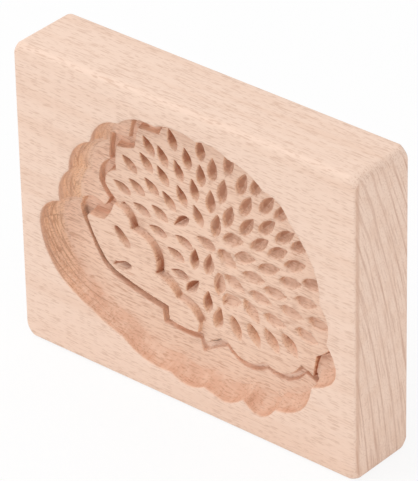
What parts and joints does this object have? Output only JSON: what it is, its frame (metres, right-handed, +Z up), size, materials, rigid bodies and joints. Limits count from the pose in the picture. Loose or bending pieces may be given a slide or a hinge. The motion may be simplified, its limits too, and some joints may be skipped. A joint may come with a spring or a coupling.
{
  "type": "wooden cookie stamp",
  "caption": "Rectangular beech block with a scalloped hollow carved in one face, where a flat-topped animal figure with leaf-shaped cuts stands, for pressing dough.",
  "frame": {"origin": "centre of the long edge that the block stands on", "axes": "+X along the block's length and grain, +Y from the carved front to the plain back, +Z up"},
  "size_m": [0.101, 0.0192, 0.0806],
  "materials": {
    "beech": "pale steamed beech, sanded and unoiled, with short flecks along X and browner cut walls in the carving"
  },
  "bodies": {
    "root": {"stamp_block": "beech"}
  },
  "joints": []
}
